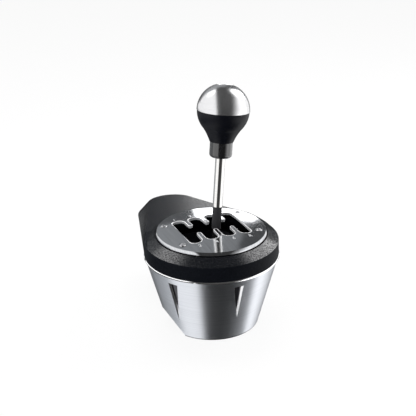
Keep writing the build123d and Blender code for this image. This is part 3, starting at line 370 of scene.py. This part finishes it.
# the bevel has a sheen in specks, and the tail's flatter top less of it; the upright
# band under them is dead matt
facing_up = upright_part(tree, "Normal")
lying = ramp(tree, facing_up, matt_below, sheen_above)
flatter = ramp(tree, facing_up, level_start, level_full, 1.0, level_sheen)
specks = ramp(tree, skin.outputs["Tone"], speck_from, speck_to, speck_least, speck_most)
sheen = arithmetic(tree, "MULTIPLY", arithmetic(tree, "MULTIPLY", lying, flatter), specks)
feed(tree, shader.inputs["Coat Weight"], sheen)
feed(tree, shader.inputs["Base Color"], mixed(tree, skin.outputs["Tone"], near_black, slate))
feed(tree, shader.inputs["Roughness"], skin.outputs["Roughness"])
relief(tree, shader, skin.outputs["Height"], stipple_depth)
dress(ring_skin, "top_ring")
jaw_moulding = moulded(
    "jaw moulding", dark=(0.012, 0.012, 0.014), light=(0.03, 0.03, 0.034), rough=(0.45, 0.62)
)
dress(jaw_moulding, "upper_jaw", "lower_jaw")


# Gate plate
# A domed steel disc, brushed in one direction, with chamfered slots and a polished rolled
# rim; the slots' bright edge is a painted highlight. Four bright socket screws sit in shallow seats.
wall_tilt, face_tilt = 0.4, 0.7
slots_reach, rim_reach = 0.050, 0.051
punched_roughness, punched_metal = 0.6, 0.35
gate_metal, tree, shader = blank("brushed gate steel", Metallic=1.0)
lines = place(tree, brushing, Along=(1400, 14, 60), Contrast=1.0)
hands = place(tree, handling, Size=12.0, Low=0.10, High=0.135)
gate_tones = mixed(tree, lines.outputs["Tone"], (0.46, 0.47, 0.49), (0.62, 0.63, 0.65))
feed(tree, shader.inputs["Base Color"], gate_tones)
relief(tree, shader, lines.outputs["Height"], brushed_depth, 0.06)

# the slots' upright walls are left as they were punched, duller than the face;
# the rolled rim, which lies further out, is polished like the face
upright = ramp(tree, upright_part(tree, "Normal"), face_tilt, wall_tilt)
inside_rim = ramp(tree, from_axis(tree), rim_reach, slots_reach)
punched = arithmetic(tree, "MULTIPLY", upright, inside_rim)
dulled = mixed(tree, punched, hands.outputs["Roughness"], punched_roughness, "FLOAT")
feed(tree, shader.inputs["Roughness"], dulled)
feed(tree, shader.inputs["Metallic"], ramp(tree, punched, 0.0, 1.0, 1.0, punched_metal))
dress(gate_metal, "gate_plate")
bright_screws = plain_metal(
    "bright gate screws",
    dark=(0.55, 0.55, 0.56), light=(0.80, 0.80, 0.82), rough=(0.20, 0.30), along=(700, 700, 700),
)
dress(bright_screws, "gate_screws")


# Slot edge highlight
# A thin tube, whiter and less metallic than the plate, lies in the plate's own chamfer.
# It paints the highlight of the slots' chamfered, polished upper edge as one bright line
# that runs round all seven ways of the gate.
crown_height, crown_rise, crown_reach = 0.1135, 0.0044, 0.0597
columns, column, slot_half, wall_x, end_y = 4, 0.01957, 0.007385, 0.0359, 0.0304
end_round, tongue_y, tip_round, edge_inset = 0.0066, 0.00977, 0.0022, 0.00036
edge_radius, edge_depth, corner_steps = 0.00052, 0.00036, 6


def dome(x, y):
    """Height of the gate plate's face."""
    return crown_height - crown_rise * (x * x + y * y) / crown_reach ** 2


def corner(x, y, radius, start, finish):
    """Points round a corner, from one bearing to another, in degrees."""
    bearings = [
        math.radians(start + (finish - start) * step / corner_steps)
        for step in range(corner_steps + 1)
    ]
    return [(x + radius * math.cos(way), y + radius * math.sin(way)) for way in bearings]


def column_middle(place_in_row):
    """How far right of the gate's middle a column runs."""
    return (place_in_row - (columns - 1) / 2) * column


def handled(name, dark, light, size, rough, **sockets):
    """A plain surface in two close tones, with handled patches."""
    material, tree, shader = blank(name, **sockets)
    hands = place(tree, handling, Size=size, Low=rough[0], High=rough[1])
    feed(tree, shader.inputs["Base Color"], mixed(tree, hands.outputs["Mask"], dark, light))
    feed(tree, shader.inputs["Roughness"], hands.outputs["Roughness"])
    return material


top_side = []
grown, shrunk = end_round + edge_inset, tip_round - edge_inset
for place_in_row in range(columns):
    middle = column_middle(place_in_row)
    far_left, far_right = middle - slot_half, middle + slot_half
    left_centre = max(far_left, -wall_x) + end_round
    right_centre = min(far_right, wall_x) - end_round
    if place_in_row:
        top_side += corner(far_left - tip_round, tongue_y + tip_round, shrunk, -90, 0)
    top_side += corner(left_centre, end_y - end_round, grown, 180, 90)
    top_side += corner(right_centre, end_y - end_round, grown, 90, 0)
    if place_in_row < columns - 1:
        top_side += corner(far_right + tip_round, tongue_y + tip_round, shrunk, 180, 270)
outline = top_side + [(x, -y) for x, y in reversed(top_side)]
line = bpy.data.curves.new("slot_edge", "CURVE")
line.dimensions, line.bevel_depth, line.bevel_resolution = "3D", edge_radius, 2
loop = line.splines.new("POLY")
loop.points.add(len(outline) - 1)
for point, (x, y) in zip(loop.points, outline):
    point.co = (x, y, dome(x, y) - edge_depth, 1)
loop.use_cyclic_u = True
slot_edge = bpy.data.objects.new("slot_edge", line)
bpy.context.scene.collection.objects.link(slot_edge)
# a near-white, half-metallic colour: the painted highlight of the polished edge
edge_painted_highlight = handled(
    "slot edge painted highlight",
    dark=(0.90, 0.90, 0.92), light=(0.97, 0.97, 0.97), size=200.0, rough=(0.3, 0.45), Metallic=0.45,
)
line.materials.append(edge_painted_highlight)
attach(slot_edge, "base")


# Gear numbers
# Seven numbers and the letter for reverse stand a hair proud of the dome, bright
# as the plate's edges, one at the end of each slot.
number_size, number_relief, number_edge = 0.0062, 0.00022, 0.00006
upper_row, lower_row = 0.0362, -0.0370
number_paint = handled(
    "bright number fill",
    dark=(0.72, 0.73, 0.75), light=(0.86, 0.87, 0.88), size=400.0, rough=(0.25, 0.4), Metallic=0.6,
)
for row, marks in ((upper_row, "1357"), (lower_row, "246R")):
    for place_in_row, mark in enumerate(marks):
        across = column_middle(place_in_row)
        curve = bpy.data.curves.new("number_outline", "FONT")
        curve.body, curve.size = mark, number_size
        curve.extrude, curve.bevel_depth = number_relief, number_edge
        curve.align_x, curve.align_y = "CENTER", "CENTER"
        letter = bpy.data.objects.new("number_outline", curve)
        bpy.context.scene.collection.objects.link(letter)
        bpy.context.view_layer.update()
        finished = letter.evaluated_get(bpy.context.evaluated_depsgraph_get())
        mesh = bpy.data.meshes.new_from_object(finished)
        bpy.data.objects.remove(letter)
        number = bpy.data.objects.new("gear_number_" + mark, mesh)
        # each point is laid on the dome, which falls away as the square of the reach
        for point in mesh.vertices:
            x, y = across + point.co.x, row + point.co.y
            point.co = (x, y, dome(x, y) + point.co.z)
        bpy.context.scene.collection.objects.link(number)
        mesh.materials.append(number_paint)
        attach(number, "base")


# Lever
# A turned steel lower shaft swings in the selector and carries a chromed rod. A soft
# matte sleeve covers the lever where it meets the gate.
shaft_steel = plain_metal(
    "turned shaft steel",
    dark=(0.36, 0.34, 0.32), light=(0.54, 0.52, 0.49), rough=(0.2, 0.34), along=(300, 300, 2200),
)
dress(shaft_steel, "lever_shaft")
matte_sleeve = moulded(
    "matte sleeve",
    dark=(0.016, 0.016, 0.018), light=(0.045, 0.045, 0.048),
    size=1600.0, rough=(0.42, 0.56), depth=0.00005,
)
dress(matte_sleeve, "gate_sleeve")
chrome = plain_metal(
    "polished chrome",
    dark=(0.74, 0.73, 0.71), light=(0.82, 0.81, 0.80), rough=(0.05, 0.10), along=(60, 60, 900),
)
dress(chrome, "lever_rod")


# Knob
# A soft rubber grip and a spun, brushed steel cap sit on a moulded core. A glossy
# black collar closes the knob at the rod.
cap_steel = plain_metal(
    "brushed cap steel",
    dark=(0.66, 0.66, 0.67), light=(0.72, 0.72, 0.73), rough=(0.22, 0.24), along=(60, 60, 1400),
)
dress(cap_steel, "knob_cap")
grip_rubber = moulded(
    "soft grip rubber",
    dark=(0.0008, 0.0011, 0.0028), light=(0.0026, 0.0036, 0.0085),
    size=1100.0, rough=(0.34, 0.44), depth=0.00005, gloss=0.17,
)
dress(grip_rubber, "knob_grip")
dress(moulded("core moulding", dark=(0.01, 0.01, 0.01), light=(0.02, 0.02, 0.02)), "knob_core")
gloss_collar = handled(
    "gloss black collar",
    dark=(0.002, 0.002, 0.0025), light=(0.008, 0.008, 0.009), size=90.0, rough=(0.10, 0.22),
    Coat_Weight=1.0, Coat_Roughness=0.06, Coat_IOR=1.6,
)
dress(gloss_collar, "knob_collar")


# Clamp
# A lobed wheel turns the captive screw under the tail; ribbed rubber pads face the
# two jaws, so that the desk isn't marked.
rib_scale, rib_depth = 260.0, 0.0004
wheel_moulding = moulded(
    "wheel moulding", dark=(0.01, 0.01, 0.011), light=(0.028, 0.028, 0.03), rough=(0.4, 0.58)
)
dress(wheel_moulding, "hand_wheel")
pad_rubber, tree, shader = blank("ribbed pad rubber")
ribs = add(tree, "ShaderNodeTexWave", Vector=surface_point(tree), Scale=rib_scale)
ribs.bands_direction = "Y"
skin = place(tree, moulding, Size=1400.0, Low=0.55, High=0.75)
pad_tones = mixed(tree, skin.outputs["Tone"], (0.012, 0.012, 0.012), (0.03, 0.03, 0.03))
feed(tree, shader.inputs["Base Color"], pad_tones)
feed(tree, shader.inputs["Roughness"], skin.outputs["Roughness"])
relief(tree, shader, ribs.outputs["Fac"], rib_depth)
dress(pad_rubber, "upper_jaw_pad", "lower_jaw_pad")


# Electronics
# Two green lacquered circuit boards, a black moulded connector bay in the rear wall,
# and the tinned socket in it that takes the data plug.
bay_moulding = moulded(
    "bay moulding", dark=(0.012, 0.012, 0.014), light=(0.03, 0.03, 0.034), rough=(0.45, 0.62)
)
dress(bay_moulding, "connector_bay")
board = handled(
    "lacquered board",
    dark=(0.006, 0.05, 0.025), light=(0.012, 0.09, 0.045), size=300.0, rough=(0.22, 0.4),
    Coat_Weight=0.4,
)
dress(board, "sensor_board", "port_board")
tinned_shell = plain_metal(
    "tinned shell",
    dark=(0.6, 0.6, 0.6), light=(0.75, 0.75, 0.75), rough=(0.15, 0.3), along=(900, 200, 900),
)
dress(tinned_shell, "data_socket")


# Tent, floor, air and lamps
# The shifter stands on white paper. Soft lamps light it evenly from three sides, and
# a tent of pale and dark cloth, which only polished surfaces see, shades its metal.
lit_point = Vector((0, 0, 0.1))
panel_rows, turn_step = 12, 8
cool_below, cool_green, cool_blue = 0.7, 1.03, 1.06
strip_rows, draws_in_from, draws_in_over, drawn_share = 46, 70, 16, 0.44


def sheet_of_light(name, at, width, height, power):
    """A wide soft lamp, turned to face the part."""
    lamp = bpy.data.lights.new(name, "AREA")
    lamp.shape, lamp.size, lamp.size_y, lamp.energy = "RECTANGLE", width, height, power
    holder = bpy.data.objects.new(name, lamp)
    holder.location = at
    holder.rotation_mode = "QUATERNION"
    holder.rotation_quaternion = (lit_point - Vector(at)).to_track_quat("-Z", "Y")
    bpy.context.scene.collection.objects.link(holder)
    holder.visible_glossy = False


sheet_of_light("lamp_left", (-1.3, -0.5, 0.9), width=0.7, height=1.2, power=9)
sheet_of_light("lamp_right", (1.3, 0.1, 0.8), width=0.7, height=1.2, power=9)
sheet_of_light("lamp_above", (0.1, 0.5, 1.5), width=1.0, height=0.8, power=12)


def bare(name):
    """A new material without its Principled shader: itself, its tree and its output."""
    material = bpy.data.materials.new(name)
    material.use_nodes = True
    tree = material.node_tree
    tree.nodes.remove(tree.nodes["Principled BSDF"])
    return material, tree, tree.nodes["Material Output"].inputs["Surface"]


cloth, tree, surface = bare("tent cloth")
shade = tree.nodes.new("ShaderNodeAttribute")
shade.attribute_name = "shade"
glow = add(tree, "ShaderNodeEmission", Color=shade.outputs["Color"], Strength=1.0)
feed(tree, surface, glow.outputs["Emission"])


def cut_cloth(name, points, wide, colours):
    """A piece of cloth from rows of points, which only glossy rays see."""
    rows = len(points) // wide
    faces = []
    for row in range(rows - 1):
        for first in range(row * wide, row * wide + wide - 1):
            faces.append((first, first + wide, first + wide + 1, first + 1))
    mesh = bpy.data.meshes.new(name)
    mesh.from_pydata(points, [], faces)
    layer = mesh.color_attributes.new("shade", "FLOAT_COLOR", "POINT")
    for point, colour in zip(layer.data, colours):
        point.color = (*colour, 1)
    mesh.materials.append(cloth)
    piece = bpy.data.objects.new(name, mesh)
    bpy.context.scene.collection.objects.link(piece)
    piece.visible_camera = piece.visible_diffuse = piece.visible_shadow = False
    piece.visible_transmission = piece.visible_volume_scatter = False
    return piece


def cloth_panel(name, turns, rises, shades, reach):
    """A panel of the tent. Turns run from the driver's side towards the right, rises
    from the floor up, both in degrees; the shades run across the turns."""
    stops = []
    for index in range(len(turns) - 1):
        turn, tone = turns[index], shades[index]
        turn_gap, tone_gap = turns[index + 1] - turn, shades[index + 1] - tone
        count = max(1, math.ceil(turn_gap / turn_step))
        for part in range(count):
            stops.append((turn + turn_gap * part / count, tone + tone_gap * part / count))
    stops.append((turns[-1], shades[-1]))
    points, colours = [], []
    for turn, tone in stops:
        way = math.radians(turn)
        for step in range(panel_rows + 1):
            rise = math.radians(rises[0] + (rises[1] - rises[0]) * step / panel_rows)
            points.append((
                reach * math.sin(way) * math.cos(rise),
                -reach * math.cos(way) * math.cos(rise),
                reach * math.sin(rise) + lit_point.z,
            ))
            green, blue = (cool_green, cool_blue) if tone < cool_below else (1, 1)
            colours.append((tone, tone * green, tone * blue))
    panel = cut_cloth(name, points, panel_rows + 1, colours)


def hang_strip(name, start, finish, sides, shades, reach):
    """A dark strip of cloth hung in an arch from in front of the part, over its top, to
    behind it. It narrows away from the viewer, so a ball shows it as an upright band,
    and its right side draws in overhead, which leaves the ring's bevel its light.
    Start and finish are degrees along the arch, sides are shares across it."""
    points, colours = [], []
    for step in range(strip_rows + 1):
        along = math.radians(start + (finish - start) * step / strip_rows)
        middle = back * math.cos(along) + up * math.sin(along)
        overhead = min(1, max(0, (math.degrees(along) - draws_in_from) / draws_in_over))
        for side, tone in zip(sides, shades):
            drawn_in = side * (1 - drawn_share * overhead) if side > 0 else side
            turn = math.asin(2 * drawn_in * math.cos(along / 2))
            points.append((middle * math.cos(turn) + right * math.sin(turn)) * reach + lit_point)
            colours.append((tone, tone, tone))
    strip = cut_cloth(name, points, len(sides), colours)


# the whole round, with its darkest cloth in front, and pale cloth above both sides
cloth_panel(
    "tent_walls",
    (-180, -150, -116, -110, -86, -46, -40, 0, 22, 40, 62, 74, 94, 106, 126, 180), (-90, 90),
    (0.30, 0.42, 0.62, 1.35, 1.25, 1.2, 0.02, 0.02, 0.04, 0.14, 0.62, 1.55, 1.55, 0.9, 0.5, 0.30), 3.0,
)
cloth_panel("tent_left_above", (-178, -165, -24), (-6, 89), (0.4, 1.2, 1.35), 2.95)
cloth_panel("tent_right_above", (-24, 112, 128, 150), (4, 89), (1.45, 1.45, 0.6, 0.3), 2.9)

# the upright dark band on the knob's cap
hang_strip("tent_strip", -64, 120, (-0.25, -0.21, 0.30, 0.38, 0.48), (1.3, 0.055, 0.055, 0.45, 1.5), 2.76)

# behind the part, where the gate plate mirrors grey cloth and one bright window
cloth_panel("tent_right_low", (104, 110, 130), (-22, 13), (1.0, 1.3, 1.3), 2.75)
cloth_panel("tent_behind", (124, 132, 182, 190), (-50, 3), (0.5, 0.05, 0.05, 0.25), 2.55)
cloth_panel("tent_back", (122, 130, 147, 148, 200), (16, 50), (0.3, 0.10, 0.10, 0.30, 0.44), 2.5)
cloth_panel("tent_back_low", (122, 157, 160, 200), (4, 16), (0.25, 0.25, 0.06, 0.06), 2.5)
cloth_panel("tent_back_left", (159.8, 162, 196), (8, 19), (0.13, 0.13, 0.16), 2.45)
cloth_panel("tent_window", (147, 159.4), (4, 18.5), (4.5, 4.5), 2.4)

# level with the part and just below: light on the cap's edge and the grip's right
# side, and dark cloth for the grip's left side and the body's foot
cloth_panel("tent_right_middle", (0, 12, 60, 66), (-22, -4), (0.03, 1.7, 1.7, 1.3), 2.8)
cloth_panel("tent_right_level", (22, 30, 96), (-6, 6), (0.6, 1.5, 1.5), 2.82)
cloth_panel("tent_right_grip", (6, 16, 74, 84), (-34, -22), (0.04, 2.2, 2.2, 1.5), 2.79)
cloth_panel("tent_right_dark", (8, 20, 56, 72), (-51, -34), (0.02, 0.01, 0.01, 0.7), 2.77)
cloth_panel("tent_left_grip", (-165, -156, -44, -36), (-35, -21), (0.4, 0.08, 0.08, 0.04), 2.79)

# high up, for the sheen on the ring's bevel and on the tail
cloth_panel("tent_right_high", (84, 94, 116, 124), (40, 62), (1.4, 3.4, 3.4, 1.4), 2.85)
cloth_panel("tent_right_rear", (106, 112, 122, 126), (16, 40), (1.4, 4.2, 4.2, 1.4), 2.84)
cloth_panel("tent_left_high", (-176, -168, -146, -130), (38, 60), (1.0, 3.2, 2.8, 1.3), 2.85)

# low in front of the part
cloth_panel("tent_floor_dark", (-58, -50, 30, 72, 96), (-90, -50), (1.2, 0.01, 0.01, 0.04, 1.0), 2.74)

# the air is plain grey light, and white where it is looked at or mirrored
world = bpy.data.worlds.new("surround")
bpy.context.scene.world = world
world.use_nodes = True
tree = world.node_tree
rays = add(tree, "ShaderNodeLightPath").outputs
looked_at = arithmetic(tree, "MAXIMUM", rays["Is Camera Ray"], rays["Is Glossy Ray"])
looked_at = arithmetic(tree, "MAXIMUM", looked_at, rays["Is Transmission Ray"])
air = tree.nodes["Background"]
feed(tree, air.inputs["Color"], mixed(tree, looked_at, (0.5, 0.5, 0.5), (1, 1, 1)))
feed(tree, air.inputs["Strength"], 1.0)

floor_half, floor_drop, paper_white, glow_share = 6, 0.0002, 0.93, 0.9
ground = bpy.data.meshes.new("floor")
corners = [(-1, -1), (1, -1), (1, 1), (-1, 1)]
ground.from_pydata([(x * floor_half, y * floor_half, 0) for x, y in corners], [], [(0, 1, 2, 3)])
floor = bpy.data.objects.new("floor", ground)
floor.location.z = -floor_drop
bpy.context.scene.collection.objects.link(floor)
paper, tree, surface = bare("white paper")
matt = add(tree, "ShaderNodeBsdfDiffuse", Color=(paper_white, paper_white, paper_white))
glow = add(tree, "ShaderNodeEmission", Color=(1, 1, 1), Strength=1.0)
rays = add(tree, "ShaderNodeLightPath").outputs
blend = add(tree, "ShaderNodeMixShader")
feed(tree, blend.inputs[0], arithmetic(tree, "MULTIPLY", rays["Is Camera Ray"], glow_share))
feed(tree, blend.inputs[1], matt.outputs["BSDF"])
feed(tree, blend.inputs[2], glow.outputs["Emission"])
feed(tree, surface, blend.outputs["Shader"])
ground.materials.append(paper)
floor.visible_glossy = False

bpy.context.scene.view_settings.view_transform = "Standard"
